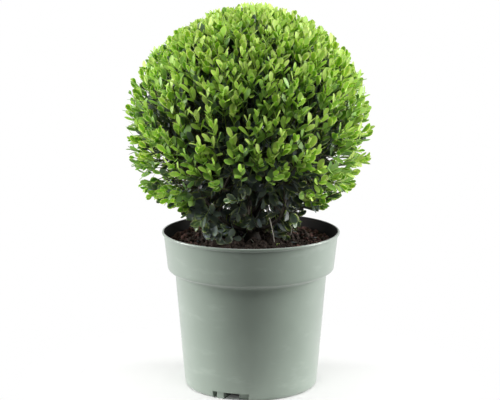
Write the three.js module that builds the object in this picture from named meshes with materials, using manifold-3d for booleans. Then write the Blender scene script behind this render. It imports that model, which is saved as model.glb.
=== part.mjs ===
// Potted Japanese holly: a clipped ball of small leaves on a short forking trunk, in a sage nursery pot.
// Millimetres, +Z up. The origin is the middle of the pot's flat underside, and -Y is the front.
import * as THREE from "three";
import { mergeVertices } from "three/addons/utils/BufferGeometryUtils.js";
import Module from "manifold-3d";

const wasm = await Module();
wasm.setup();

// Pot: a tapered body, a step out to a deep band, and a small lip round the mouth
const POT_HEIGHT = 212;
const POT_SIDES = 48;
const WALL = 1.8;
const FLOOR = 3;
const FOOT_RADIUS = 85.4; // the flat underside
const HEEL = { radius: 90.6, height: 7, inset: 2 }; // where the rounded foot runs into the body
const BODY_TOP = { radius: 102.4, height: 152.7 };
const BAND_BOTTOM = { radius: 112.9, height: 165.7 };
const BAND_TOP = { radius: 117.5, height: 207.5 };
const STEP_ROUNDING = 5; // at the inner and outer corners between body and band
const LIP = { radius: 120, height: 3.5, bevel: 0.7 };

// Drains: recesses in the foot of the pot, each crossed by two ribs, with a hole in the roof
const DRAIN_COUNT = 3;
const DRAIN_TURN = -109; // degrees: the first one is a little left of the front
const DRAIN_HALF_ANGLE = 17.2;
const DRAIN_HEIGHT = 10;
const DRAIN_INNER_RADIUS = 64;
const DRAIN_OUTER_RADIUS = 100; // clear of the pot's foot
const DRAIN_SINK = 0.5; // how far a drain's housing runs into the floor
const ARC_STEP = 10; // degrees of arc to a facet in the drains
const DRAIN_HOLE = { radius: 76, aside: -4, width: 20, depth: 9 };
const DRAIN_RIBS = [
  { from: -13.8, to: -7.6, setBack: 0 }, // degrees from the drain's middle
  { from: 8.4, to: 17.2, setBack: 6 },
];

// Soil and trunk
const SOIL_TOP = 200; // at the trunk
const SOIL_EDGE = 195; // at the pot's wall
const SOIL_SHOULDER = { radius: 72, height: 198 };
const GAP = 0.3; // between pieces that meet
const TRUNK = { flare: 15, radius: 9.5, tip: 7.5, height: 62, lean: 3, sides: 10, steps: 7 };
const FLARE_FADE = 7; // how quickly the root flare dies away up the trunk

// Crown: a ball whose leaf tips end on one sphere, with bare wood inside
const CROWN_CENTRE = new THREE.Vector3(-2, 0, 354);
const CROWN_RADIUS = 167;
const CORE = { outer: 143, inner: 100, lump: 3.5 };
const MASS_GAP = 1.6; // between neighbouring masses
const LOWEST_LEAF = SOIL_TOP + 4;

// Tiers of boughs, each bough with a mass of foliage at its tip. polar is the mass's angle from the crown's
// top, turn the first bough's bearing, and fork the boughs' height on the trunk.
const TIERS = [
  { name: "top", count: 1, polar: 0, turn: 0, fork: 55, base: 4.4, tip: 3.2 },
  { name: "upper", count: 5, polar: 58, turn: -62, fork: 36, base: 3.9, tip: 2.9 },
  { name: "lower", count: 6, polar: 106, turn: -95, fork: 22, base: 3.9, tip: 2.8 },
  { name: "skirt", count: 6, polar: 150, turn: -95, fork: 11, base: 3.2, tip: 2.4 },
];
// The point that each tier's boughs bend towards, out from the axis and up from the floor
const ELBOWS = {
  top: { out: 7, height: 350 },
  upper: { out: 44, height: 342 },
  lower: { out: 63, height: 308 },
  skirt: { out: 28, height: 216 },
};
const BOUGH = { end: CORE.inner - 9, sides: 5, steps: 5 }; // end: the tip's distance from the crown's centre

// Sprigs, spread evenly over the ball. Leaves are larger than life, as each stands for several.
const SPRIG = { count: 112, root: 131, margin: 10, upward: 0.42, wander: 0.3 };
const TWIG = { length: 22, base: 3, tip: 2, sides: 3 };
const LEAF = { length: 38, width: 20, thickness: 1.5, fold: 1.1, widest: 0.58, sink: 0.4 };
const LEAF_TRIM = { step: 2, shortest: 18 }; // a leaf with too little room is made shorter
const SPRIG_LEAVES = [
  { along: 0.68, tilt: 74 }, // a leaf's place along its twig, and its angle from the twig in degrees
  { along: 0.79, tilt: 66 },
  { along: 0.89, tilt: 57 },
  { along: 0.97, tilt: 24 },
];
const TILT_SPREAD = 10;

// Skirt: open sprays under the ball, on stems that run out over the soil
const SKIRT_START = { out: 46, height: 233 };
const SKIRT_REACH = { out: 110, height: 246 };
const SKIRT = { twigs: 4, bend: 11, lift: 0.2, droop: 0.7 };
const SKIRT_SWING = { least: 0.9, spread: 0.4 }; // how far a twig turns aside from its stem
const SKIRT_STRETCH = { least: 1.1, spread: 0.6 }; // a twig's length against those on the ball

const GOLDEN_ANGLE = Math.PI * (3 - Math.sqrt(5));
const SEED = 1843;
const UP = new THREE.Vector3(0, 0, 1);
const radians = THREE.MathUtils.degToRad;

// A repeatable stream of numbers from 0 to 1
function seededStream(seed) {
  let state = seed >>> 0;
  return () => {
    state = (Math.imul(state, 1664525) + 1013904223) >>> 0;
    return state / 2 ** 32;
  };
}

function solidOf(geometry) {
  const bare = new THREE.BufferGeometry().setAttribute("position", geometry.getAttribute("position"));
  const merged = mergeVertices(bare.setIndex(geometry.getIndex()));
  const corners = merged.index.array;
  const triVerts = [];
  for (let i = 0; i < corners.length; i += 3) {
    const [a, b, c] = corners.slice(i, i + 3);
    if (a !== b && b !== c && c !== a) triVerts.push(a, b, c);
  }
  const vertProperties = merged.getAttribute("position").array;
  const mesh = new wasm.Mesh({ numProp: 3, vertProperties, triVerts: Uint32Array.from(triVerts) });
  return new wasm.Manifold(mesh);
}

function geometryOf(solid) {
  const mesh = solid.getMesh();
  const geometry = new THREE.BufferGeometry();
  geometry.setAttribute("position", new THREE.BufferAttribute(mesh.vertProperties, mesh.numProp));
  geometry.setIndex(new THREE.BufferAttribute(mesh.triVerts, 1));
  const flat = geometry.toNonIndexed();
  flat.computeVertexNormals();
  return flat;
}

// The one body that several solids make, without loose scraps or sealed hollows
function fused(solids) {
  const bodies = solids.reduce((sum, solid) => sum.add(solid)).decompose();
  return bodies.reduce((largest, body) => (body.volume() > largest.volume() ? body : largest));
}

function withoutAll(solid, cuts) {
  return cuts.reduce((rest, cut) => rest.subtract(cut), solid);
}

function facetedGeometry(points, faces) {
  const geometry = new THREE.BufferGeometry().setFromPoints(points);
  geometry.setIndex(faces.flat());
  return geometry;
}

// A closed tapering limb along a curve, with flat ends
function limbSolid(curve, radiusAt, steps, sides) {
  const frames = curve.computeFrenetFrames(steps, false);
  const points = [];
  const faces = [];
  curve.getSpacedPoints(steps).forEach((centre, i) => {
    for (let k = 0; k < sides; k++) {
      const angle = (2 * Math.PI * k) / sides;
      const spoke = frames.normals[i].clone().multiplyScalar(Math.cos(angle));
      spoke.addScaledVector(frames.binormals[i], Math.sin(angle));
      points.push(centre.clone().addScaledVector(spoke, radiusAt(i / steps)));
    }
  });
  for (let i = 0; i < steps; i++) {
    for (let k = 0; k < sides; k++) {
      const next = (k + 1) % sides;
      const [a, b, c, d] = [i * sides + k, i * sides + next, (i + 1) * sides + k, (i + 1) * sides + next];
      faces.push([a, b, d], [a, d, c]);
    }
  }
  const last = steps * sides;
  for (let k = 1; k < sides - 1; k++) faces.push([0, k + 1, k], [last, last + k, last + k + 1]);
  return solidOf(facetedGeometry(points, faces));
}

const taper = (from, to) => (share) => from + (to - from) * share;

function twigSolid(from, to, baseRadius, tipRadius) {
  return limbSolid(new THREE.LineCurve3(from, to), taper(baseRadius, tipRadius), 1, TWIG.sides);
}

function aroundAxis({ out, height }, angle) {
  return new THREE.Vector3(out * Math.cos(angle), out * Math.sin(angle), height);
}

// A turned solid whose profile runs out from the axis, up the outside and back to the axis
function turnedSolid(profile) {
  const lathe = new THREE.LatheGeometry(profile.getPoints(2), POT_SIDES);
  return solidOf(lathe.rotateX(Math.PI / 2));
}

// A block between two radii and two angles about the pot's axis
function sectorBlock(inner, outer, from, to, bottom, top) {
  const shape = new THREE.Shape();
  shape.absarc(0, 0, outer, radians(from), radians(to), false);
  shape.absarc(0, 0, inner, radians(to), radians(from), true);
  shape.closePath();
  const curveSegments = Math.ceil((to - from) / ARC_STEP / 2);
  const block = new THREE.ExtrudeGeometry(shape, { depth: top - bottom, bevelEnabled: false, curveSegments });
  return solidOf(block.translate(0, 0, bottom));
}

function drainAngles() {
  return Array.from({ length: DRAIN_COUNT }, (_, i) => DRAIN_TURN + (360 * i) / DRAIN_COUNT);
}

// The raised box over a drain recess, grown by a clearance
function drainHousing(middle, clearance) {
  const thickness = WALL + clearance;
  const spread = DRAIN_HALF_ANGLE + THREE.MathUtils.radToDeg(thickness / HEEL.radius);
  const inner = DRAIN_INNER_RADIUS - thickness;
  const outer = HEEL.radius - WALL / 2;
  const bottom = FLOOR - DRAIN_SINK;
  const top = DRAIN_HEIGHT + thickness;
  return sectorBlock(inner, outer, middle - spread, middle + spread, bottom, top);
}

// The recess under a housing, split by its ribs and cut past the faces that it opens
function drainRecess(middle) {
  const from = middle - DRAIN_HALF_ANGLE;
  const to = middle + DRAIN_HALF_ANGLE;
  const whole = sectorBlock(DRAIN_INNER_RADIUS, DRAIN_OUTER_RADIUS, from, to, -FLOOR, DRAIN_HEIGHT);
  const ribs = DRAIN_RIBS.map((rib) => {
    const front = HEEL.radius - WALL - rib.setBack;
    const back = DRAIN_INNER_RADIUS - WALL;
    return sectorBlock(back, front, middle + rib.from, middle + rib.to, -2 * FLOOR, DRAIN_HEIGHT + WALL);
  });
  return withoutAll(whole, ribs);
}

// The hole in a housing's roof that lets water out of the soil
function drainHole(middle) {
  const { radius, aside, width, depth } = DRAIN_HOLE;
  const hole = new THREE.BoxGeometry(depth, width, DRAIN_HEIGHT).translate(radius, aside, DRAIN_HEIGHT);
  return solidOf(hole.rotateZ(radians(middle)));
}

function potSolid() {
  const stepMiddle = (BODY_TOP.radius + BAND_BOTTOM.radius) / 2;
  const stepHeight = (BODY_TOP.height + BAND_BOTTOM.height) / 2;
  const profile = new THREE.Path();
  profile.lineTo(FOOT_RADIUS, 0);
  profile.quadraticCurveTo(HEEL.radius, 0, HEEL.radius, HEEL.height);
  profile.lineTo(BODY_TOP.radius, BODY_TOP.height);
  profile.quadraticCurveTo(BODY_TOP.radius, BODY_TOP.height + STEP_ROUNDING, stepMiddle, stepHeight);
  profile.quadraticCurveTo(BAND_BOTTOM.radius, stepHeight, BAND_BOTTOM.radius, BAND_BOTTOM.height);
  profile.lineTo(BAND_TOP.radius, BAND_TOP.height);
  profile.lineTo(LIP.radius - LIP.bevel, POT_HEIGHT - LIP.height);
  profile.lineTo(LIP.radius, POT_HEIGHT - LIP.height / 2);
  profile.lineTo(LIP.radius - LIP.bevel, POT_HEIGHT);
  profile.lineTo(BAND_TOP.radius, POT_HEIGHT);
  profile.lineTo(BAND_TOP.radius - WALL, BAND_TOP.height);
  profile.lineTo(BAND_BOTTOM.radius - WALL, BAND_BOTTOM.height);
  profile.lineTo(BODY_TOP.radius - WALL, BODY_TOP.height + WALL);
  profile.lineTo(HEEL.radius - WALL, HEEL.height);
  profile.lineTo(HEEL.radius - WALL - HEEL.inset, FLOOR);
  profile.lineTo(0, FLOOR);
  const housed = fused([turnedSolid(profile), ...drainAngles().map((angle) => drainHousing(angle, 0))]);
  return withoutAll(housed, drainAngles().flatMap((angle) => [drainRecess(angle), drainHole(angle)]));
}

// The soil fills the pot to a low mound, a little clear of the wall, the floor and the drains
function soilSolid() {
  const clear = WALL + GAP;
  const { mapLinear } = THREE.MathUtils;
  const edge = mapLinear(SOIL_EDGE, BAND_BOTTOM.height, BAND_TOP.height, BAND_BOTTOM.radius, BAND_TOP.radius);
  const profile = new THREE.Path();
  profile.moveTo(0, FLOOR + GAP);
  profile.lineTo(HEEL.radius - clear - HEEL.inset, FLOOR + GAP);
  profile.lineTo(HEEL.radius - clear, HEEL.height + GAP);
  profile.lineTo(BODY_TOP.radius - clear, BODY_TOP.height + clear);
  profile.lineTo(BAND_BOTTOM.radius - clear, BAND_BOTTOM.height + GAP);
  profile.lineTo(edge - clear, SOIL_EDGE);
  profile.lineTo(SOIL_SHOULDER.radius, SOIL_SHOULDER.height);
  profile.lineTo(2 * TRUNK.flare, SOIL_TOP);
  profile.lineTo(0, SOIL_TOP);
  return withoutAll(turnedSolid(profile), drainAngles().map((angle) => drainHousing(angle, GAP)));
}

// The trunk stands upright at the soil and leans a little above it
function trunkCurve(height) {
  const foot = new THREE.Vector3(0, 0, SOIL_TOP + GAP);
  const middle = new THREE.Vector3(0, 0, SOIL_TOP + height / 2);
  return new THREE.QuadraticBezierCurve3(foot, middle, new THREE.Vector3(-TRUNK.lean, 0, SOIL_TOP + height));
}

// The trunk from its flat cut at the soil, through a root flare, to its fork. A clearance widens it.
function trunkSolid(clearance) {
  const apothem = Math.cos(Math.PI / TRUNK.sides);
  const radiusAt = (share) => {
    const flare = (TRUNK.flare - TRUNK.radius) * Math.exp(-share * FLARE_FADE);
    return clearance / apothem + flare + taper(TRUNK.radius, TRUNK.tip)(share);
  };
  return limbSolid(trunkCurve(TRUNK.height + clearance), radiusAt, TRUNK.steps, TRUNK.sides);
}

// One entry for each bough: its tier, its mass's direction from the crown's centre, and the curve it follows
function plannedBoughs() {
  return TIERS.flatMap((tier) =>
    Array.from({ length: tier.count }, (_, i) => {
      const angle = radians(tier.turn + (360 * i) / tier.count);
      const polar = radians(tier.polar);
      const direction = aroundAxis({ out: Math.sin(polar), height: Math.cos(polar) }, angle);
      const open = tier.name === "skirt";
      const start = trunkCurve(TRUNK.height).getPoint(tier.fork / TRUNK.height);
      const elbow = aroundAxis(ELBOWS[tier.name], angle);
      const inBall = CROWN_CENTRE.clone().addScaledVector(direction, BOUGH.end);
      const end = open ? aroundAxis(SKIRT_START, angle) : inBall;
      const curve = new THREE.QuadraticBezierCurve3(start, elbow, end);
      const label = tier.count === 1 ? tier.name : `${tier.name}_${i + 1}`;
      return { tier, label, open, angle, direction, curve };
    }),
  );
}

function boughSolid(plan, trunkRoom) {
  const { base, tip } = plan.tier;
  return fused([limbSolid(plan.curve, taper(base, tip), BOUGH.steps, BOUGH.sides).subtract(trunkRoom)]);
}

// Directions that lead straight out of a mass's cell of the crown, one for each other mass
function waysOut(plan, plans) {
  const others = plans.filter((other) => other !== plan);
  return others.map((other) => other.direction.clone().sub(plan.direction).normalize());
}

// How far a point lies inside the planes halfway to the other masses
function depthInCell(point, exits) {
  const spot = point.clone().sub(CROWN_CENTRE);
  return Math.min(...exits.map((exit) => -spot.dot(exit)));
}

function atCrown(geometry) {
  return geometry.translate(CROWN_CENTRE.x, CROWN_CENTRE.y, CROWN_CENTRE.z);
}

// The hollow ball of foliage that the leaves stand out of, slightly lumpy
function coreShell(random) {
  const outer = new THREE.IcosahedronGeometry(CORE.outer, 4).deleteAttribute("normal").deleteAttribute("uv");
  const lumpy = mergeVertices(outer);
  const place = lumpy.getAttribute("position");
  for (let i = 0; i < place.count; i++) {
    const spot = new THREE.Vector3().fromBufferAttribute(place, i);
    spot.setLength(CORE.outer + CORE.lump * (random() - 0.5));
    place.setXYZ(i, spot.x, spot.y, spot.z);
  }
  const inner = new THREE.IcosahedronGeometry(CORE.inner, 2);
  return solidOf(atCrown(lumpy)).subtract(solidOf(atCrown(inner)));
}

// The share of the shell that lies in one mass's cell
function coreSolid(shell, exits) {
  const side = 4 * CROWN_RADIUS;
  const beyond = exits.map((exit) => {
    const block = new THREE.BoxGeometry(side, side, side).translate(0, 0, side / 2 - MASS_GAP / 2);
    block.applyQuaternion(new THREE.Quaternion().setFromUnitVectors(UP, exit));
    return solidOf(atCrown(block));
  });
  return withoutAll(shell, beyond);
}

// The six corners of an obovate leaf, folded a little along its midrib
function leafPoints(root, along, across, length) {
  const face = along.clone().cross(across);
  const width = (LEAF.width * length) / LEAF.length;
  const at = (x, y, z) =>
    root.clone().addScaledVector(along, x).addScaledVector(across, y).addScaledVector(face, z);
  return [
    at(-LEAF.sink, 0, 0),
    at(length * LEAF.widest, -width / 2, LEAF.fold),
    at(length, 0, 0),
    at(length * LEAF.widest, width / 2, LEAF.fold),
    at(length / 2, 0, LEAF.thickness / 2),
    at(length / 2, 0, -LEAF.thickness / 2),
  ];
}

function leafSolid(points) {
  const upper = [0, 1, 2, 3].map((k) => [k, (k + 1) % 4, 4]);
  const lower = [0, 1, 2, 3].map((k) => [(k + 1) % 4, k, 5]);
  return solidOf(facetedGeometry(points, [...upper, ...lower]));
}

// Leaves set round a shoot by the golden angle, each as long as its room allows
function leavesOnShoot(foot, tip, hasRoom, random) {
  const axis = tip.clone().sub(foot).normalize();
  const side = new THREE.Vector3(axis.y, -axis.x, 0).normalize();
  const firstTurn = random() * 2 * Math.PI;
  const leaves = [];
  SPRIG_LEAVES.forEach(({ along, tilt }, k) => {
    const outward = side.clone().applyAxisAngle(axis, firstTurn + k * GOLDEN_ANGLE);
    const lean = radians(tilt + TILT_SPREAD * (random() - 0.5));
    const direction = axis.clone().multiplyScalar(Math.cos(lean)).addScaledVector(outward, Math.sin(lean));
    const across = axis.clone().cross(outward).normalize();
    const root = foot.clone().lerp(tip, along);
    for (let length = LEAF.length; length >= LEAF_TRIM.shortest; length -= LEAF_TRIM.step) {
      const points = leafPoints(root, direction, across, length);
      if (points.every(hasRoom)) {
        leaves.push(leafSolid(points));
        break;
      }
    }
  });
  return leaves;
}

// A test that is true of a solid that touches none of those listed
function apartFrom(solids) {
  return (solid) => solids.every((other) => other.intersect(solid).isEmpty());
}

// Evenly spread directions over the whole ball
function sprigDirections() {
  return Array.from({ length: SPRIG.count }, (_, i) => {
    const height = 1 - (2 * i + 1) / SPRIG.count;
    return aroundAxis({ out: Math.sqrt(1 - height * height), height }, i * GOLDEN_ANGLE);
  });
}

// The ends of the short stem that carries a mass on from its bough
function stemEnds(plan, length) {
  const onward = plan.curve.getTangent(1);
  const start = plan.curve.getPoint(1).addScaledVector(onward, GAP);
  return [start, start.clone().addScaledVector(onward, length)];
}

// A clipped mass: a core on its stem, with sprigs that grow out of it and turn up towards the light
function clippedMass(plan, plans, shell, random) {
  const exits = waysOut(plan, plans);
  const stem = new THREE.LineCurve3(...stemEnds(plan, CORE.outer - CORE.inner));
  const hasRoom = (point) =>
    point.distanceTo(CROWN_CENTRE) < CROWN_RADIUS && depthInCell(point, exits) > MASS_GAP / 2;
  const middle = CROWN_CENTRE.clone().addScaledVector(plan.direction, SPRIG.root);
  const sprigs = [];
  for (const direction of sprigDirections()) {
    if (depthInCell(CROWN_CENTRE.clone().add(direction), exits) < 0) continue;
    const foot = CROWN_CENTRE.clone().addScaledVector(direction, SPRIG.root);
    while (depthInCell(foot, exits) < SPRIG.margin) foot.lerp(middle, 0.05);
    const growth = foot.clone().sub(CROWN_CENTRE).normalize().addScaledVector(UP, SPRIG.upward);
    const wander = new THREE.Vector3(random() - 0.5, random() - 0.5, random() - 0.5);
    growth.addScaledVector(wander, SPRIG.wander).normalize();
    const tip = foot.clone().addScaledVector(growth, TWIG.length);
    if (!hasRoom(tip)) continue;
    const leaves = leavesOnShoot(foot, tip, hasRoom, random).filter(apartFrom(sprigs));
    sprigs.push(twigSolid(foot, tip, TWIG.base, TWIG.tip), ...leaves);
  }
  const carrier = limbSolid(stem, taper(plan.tier.tip, TWIG.tip), 1, BOUGH.sides);
  return fused([coreSolid(shell, exits), carrier, ...sprigs]);
}

// An open spray under the ball: one stem with twigs to either side, and sky between them
function openMass(plan, plans, limbs, random) {
  const exits = waysOut(plan, plans);
  const reach = aroundAxis(SKIRT_REACH, plan.angle);
  const stem = new THREE.QuadraticBezierCurve3(...stemEnds(plan, SKIRT.bend), reach);
  const hasRoom = (point) =>
    point.z > LOWEST_LEAF &&
    point.distanceTo(CROWN_CENTRE) < CROWN_RADIUS &&
    depthInCell(point, exits) > MASS_GAP / 2;
  const sideways = aroundAxis({ out: 1, height: 0 }, plan.angle + Math.PI / 2);
  const sprigs = [];
  for (let k = 1; k <= SKIRT.twigs; k++) {
    const share = k / (SKIRT.twigs + 1);
    const foot = stem.getPoint(share);
    const odd = k % 2 === 1;
    const swing = (odd ? -1 : 1) * (SKIRT_SWING.least + SKIRT_SWING.spread * random());
    const rise = odd ? SKIRT.lift : -SKIRT.droop * random();
    const growth = stem.getTangent(share).addScaledVector(sideways, swing).addScaledVector(UP, rise);
    growth.normalize();
    const length = TWIG.length * (SKIRT_STRETCH.least + SKIRT_STRETCH.spread * random());
    const tip = foot.clone().addScaledVector(growth, length);
    const twig = twigSolid(foot, tip, TWIG.tip, TWIG.tip);
    if (!hasRoom(tip) || !apartFrom(limbs)(twig)) continue;
    const leaves = leavesOnShoot(foot, tip, hasRoom, random).filter(apartFrom([...limbs, ...sprigs]));
    sprigs.push(twig, ...leaves);
  }
  const last = leavesOnShoot(stem.getPoint(0.8), stem.getPoint(1), hasRoom, random).filter(apartFrom(sprigs));
  return fused([limbSolid(stem, taper(plan.tier.tip, TWIG.tip), 3, BOUGH.sides), ...sprigs, ...last]);
}

const MATERIALS = {
  pot: new THREE.MeshStandardMaterial({ color: 0x8f9d90, roughness: 0.45, metalness: 0 }),
  soil: new THREE.MeshStandardMaterial({ color: 0x3a2a24, roughness: 0.95, metalness: 0 }),
  bark: new THREE.MeshStandardMaterial({ color: 0x6b6458, roughness: 0.85, metalness: 0 }),
  foliage: new THREE.MeshStandardMaterial({ color: 0x6fa02c, roughness: 0.5, metalness: 0 }),
};

function named(name, solid, material) {
  const mesh = new THREE.Mesh(geometryOf(solid), material);
  mesh.name = name;
  return mesh;
}

function pottedHolly() {
  const random = seededStream(SEED);
  const plans = plannedBoughs();
  const trunk = trunkSolid(0);
  const trunkRoom = trunkSolid(GAP);
  const boughs = plans.map((plan) => boughSolid(plan, trunkRoom));
  const shell = coreShell(random);

  const container = new THREE.Group();
  container.add(named("pot", potSolid(), MATERIALS.pot));
  container.add(named("soil", soilSolid(), MATERIALS.soil));

  const wood = new THREE.Group();
  wood.add(named("trunk", trunk, MATERIALS.bark));
  plans.forEach((plan, i) => wood.add(named(`bough_${plan.label}`, boughs[i], MATERIALS.bark)));

  const crown = new THREE.Group();
  for (const plan of plans) {
    const limbs = [trunk, ...boughs];
    const mass = plan.open ? openMass(plan, plans, limbs, random) : clippedMass(plan, plans, shell, random);
    crown.add(named(`foliage_${plan.label}`, mass, MATERIALS.foliage));
  }

  const holly = new THREE.Group();
  holly.add(container, wood, crown);
  return holly;
}

export default pottedHolly();
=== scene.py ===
import itertools
import math

import bpy
import numpy as np
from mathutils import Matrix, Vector
from mathutils.bvhtree import BVHTree


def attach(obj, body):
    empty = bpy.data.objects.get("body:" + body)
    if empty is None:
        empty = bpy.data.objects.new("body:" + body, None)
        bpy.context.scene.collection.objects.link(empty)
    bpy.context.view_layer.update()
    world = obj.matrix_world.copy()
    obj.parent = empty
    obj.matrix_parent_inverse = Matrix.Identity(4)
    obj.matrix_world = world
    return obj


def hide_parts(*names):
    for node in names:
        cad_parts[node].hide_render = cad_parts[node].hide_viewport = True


# Potted Japanese holly: a clipped ball of small leaves on a short forking trunk, in a sage nursery pot.
# Sizes are in millimetres in the frame's own axes: +Z up, -Y the front, the origin under the pot.
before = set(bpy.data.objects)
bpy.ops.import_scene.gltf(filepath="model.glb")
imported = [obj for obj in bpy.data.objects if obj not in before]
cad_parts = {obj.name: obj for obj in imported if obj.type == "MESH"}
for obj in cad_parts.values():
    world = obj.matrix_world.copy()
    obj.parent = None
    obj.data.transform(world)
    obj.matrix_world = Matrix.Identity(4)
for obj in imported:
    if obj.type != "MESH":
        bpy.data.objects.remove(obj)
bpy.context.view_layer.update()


def table(headings, rows):
    """Rows of values as dictionaries, by the headings' words."""
    return [dict(zip(headings.split(), row)) for row in rows]


MM = 0.001  # the scene is in metres
SEED = 1843
UP = np.array([0.0, 0.0, 1.0])
GOLDEN_ANGLE = math.pi * (3 - math.sqrt(5))
# Degrees up to which an edge is shaded smooth
SMOOTH = {"pot": 40, "peat": 50, "crumb": 25, "bark": 40, "stem": 50, "leaf": 50}

# Camera: fitted to the pot's rim, band and foot
CAMERA_PLACE = (-1.2, -2000.0, 634.6)
CAMERA_PITCH = 10.79  # degrees below the horizon
CAMERA_LENS = 108.84
CAMERA_SENSOR = 36.0

# Studio: a softbox level with the plant to each side, and one overhead, a little to the front
SIDE_BOX = {"place": (1500.0, 560.0), "aim": 260.0, "width": 700.0, "tall": 1300.0, "watts": 37.0}
SIDE_BOXES = {"left_softbox": 179.0, "right_softbox": 1.0}  # degrees from +X
TOP_BOX = {"place": (0.0, -1050.0, 2650.0), "aim": 300.0, "width": 1600.0, "tall": 1400.0, "watts": 45.0}
ROOM_LIGHT = 0.1  # what the dark room in front still gives
FLOOR_LIGHT = 0.2  # what the white floor all round gives from below
BACKDROP_LIGHT = 0.85  # what the lit white backdrop behind gives
BACKDROP_EDGE = (0.05, 0.45)  # how far back a direction points where that begins, and where it is full
FLOOR_EDGE = (-0.15, 0.0)  # how far up one points where the floor's light begins to fade, and its end
FLOOR_SIZE = 2400.0
FLOOR_FADE = (60.0, 320.0)  # where the paper begins to run out into white, and its end

# Pot: a tapered body, a step out to a deep band, and a lip round the mouth; points are (radius, height)
POT_SIDES = 144
POT_HEIGHT = 212.0
WALL = 1.8
GAP = 0.3  # left between the frame's solids
POT_FLOOR = 3.0
FOOT_RADIUS = 85.4
HEEL = (90.6, 7.0)
HEEL_INSET = 2.0
BODY_TOP = (102.4, 152.7)
BAND_BOTTOM = (112.9, 165.7)
BAND_TOP = (117.5, 207.5)
STEP_ROUNDING = 5.0
LIP_RADIUS = 120.0
LIP_HEIGHT = 3.5
LIP_EDGE = 0.9  # the flat left on top of the lip, inside its rounding

# Drains in the pot's foot: recesses crossed by two ribs, with a hole in the roof
DRAIN_COUNT = 3
DRAIN_TURN = -109.0
DRAIN_HALF_ANGLE = 17.2
DRAIN_HEIGHT = 10.0
DRAIN_INNER = 64.0
DRAIN_OUTER = 100.0
DRAIN_SINK = 0.5
DRAIN_PAINTED_SHADE_BACK = 72.0  # nearer the axis than this, a drain's faces are painted black as painted shade in its recess
FACING_IN = 0.3  # the least that a face of the black layer points to the axis
FACING_UP = 0.5  # and the least that a face of its floor points up
DRAIN_HOLE = {"radius": 76.0, "aside": -4.0, "width": 20.0, "depth": 9.0}
# The cells between and in front of the ribs: from and to in degrees, and how far in each one goes
DRAIN_CELLS = [(-15.2, -11.6, 64.0), (-11.7, -5.1, 88.8), (-5.2, 8.2, 64.0), (8.1, 17.2, 82.8)]

# Soil: a low mound of loose peat
SOIL_SIDES = 120
SOIL_BOTTOM = 13.0
SOIL_CLEARANCE = 2.1  # the pot's wall and a small gap
SOIL_EDGE = 195.0
SOIL_SHOULDER = (72.0, 198.0)
SOIL_TOP = 200.0
SOIL_RING = 2.6  # between the rings of its top
PEAT_LUMPS = [(16.0, 6.5), (5.0, 3.4)]  # size of the lumps and their height
# Peat by kind: its dark and its light tone, and the size of its clods
PEATS = {
    "moist_peat": ("#28221E", "#4E4139", 6.0),
    "dark_peat": ("#332D28", "#5D4F47", 3.0),
    "red_peat": ("#46302A", "#96736A", 3.0),
}
# Loose crumbs: how many, between which shares of the bed's area, usual and greatest radius, and peat
# The red crumbs lie only towards the rim, so the middle stays darker: painted shade under the plant
CRUMBS = {
    "dark_crumbs": (1500, (0.02, 1.0), (1.7, 5.0), "dark_peat"),
    "red_crumbs": (620, (0.45, 1.0), (1.9, 6.0), "red_peat"),
    "edge_crumbs": (330, (0.86, 1.03), (2.9, 6.0), "red_peat"),
}
CRUMB_AREA = BAND_TOP[0] - 8.0  # the radius of that area
# How much crumbs differ in size, and in radii: how far their corners reach, how high their middle lies,
# and how knobbly and how long they are
CRUMB = {"variety": 0.45, "reach": 1.4, "middle": 0.25, "knobs": (0.7, 1.25), "stretch": (0.7, 1.3)}

# Trunk and boughs: the same limbs as the frame's, with bark
TRUNK = {"flare": 15.0, "radius": 9.5, "tip": 7.5, "height": 62.0, "lean": 3.0}
TRUNK_DEPTH = 6.0  # how far its foot goes into the peat
FOOT_SPREAD = 1.0  # how much thicker it is down there
FLARE_FADE = 7.0
TRUNK_STEPS = 14
FORK_STEPS = 100  # how finely forks are placed along it
CROWN_CENTRE = np.array([-3.5, 0.0, 354.0])
CROWN_RADIUS = 163.3
CROWN_BULGE = 3.5  # how much further it reaches at its middle
CROWN_LUMPS = 3.0  # how far tufts stand out of it, and hollows lie in it
LUMP_SIZE = 46.0
LUMP_WAVES = 5
LUMP_TURN = 6.15  # set so that the outline rises and falls about where the photo's does
LUMP_PHASE = 0.1
TUFTING = 0.7  # how far the outermost shoots gather on the lumps, where they are thinned
# Where the ball was clipped closer
FLAT_SHOULDER = {"towards": (-0.62, 0.0, 0.78), "wide": 0.45, "deep": 9.0}
# Boughs by tier: how many, degrees from the ball's top and round it, the fork's height on the trunk,
# the thickness at either end, and the elbow's (radius, height)
TIERS = table("name count polar turn fork base tip elbow", [
    ("top", 1, 0, 0, 55, 4.4, 3.2, (7, 350)),
    ("upper", 5, 58, -62, 36, 3.9, 2.9, (44, 342)),
    ("lower", 6, 106, -95, 22, 3.9, 2.8, (63, 308)),
    ("skirt", 6, 150, -95, 11, 3.2, 2.4, (28, 216)),
])
BOUGH_STEPS = 10
BOUGH_END = 91.0  # from the crown's centre
TRUNK_RELIEF = [(7.0, 1.3), (2.2, 0.7)]  # size of the bark's lumps and their height
BOUGH_RELIEF = [(5.0, 0.9), (1.8, 0.5)]
# Bark by kind: its dark and its light tone, and the width of its streaks
BARKS = {
    # The trunk's and boughs' bark is darkened below holly's grey as painted shade inside the ball
    "grey_holly_bark": ("#231F1B", "#474038", 4.0),
    "grey_twig_bark": ("#3A332B", "#6A6154", 2.5),
    "green_shoot_bark": ("#5C6B33", "#86994C", 2.5),
    "weathered_stalk_bark": ("#827E75", "#BDB9AF", 2.5),
}
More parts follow.
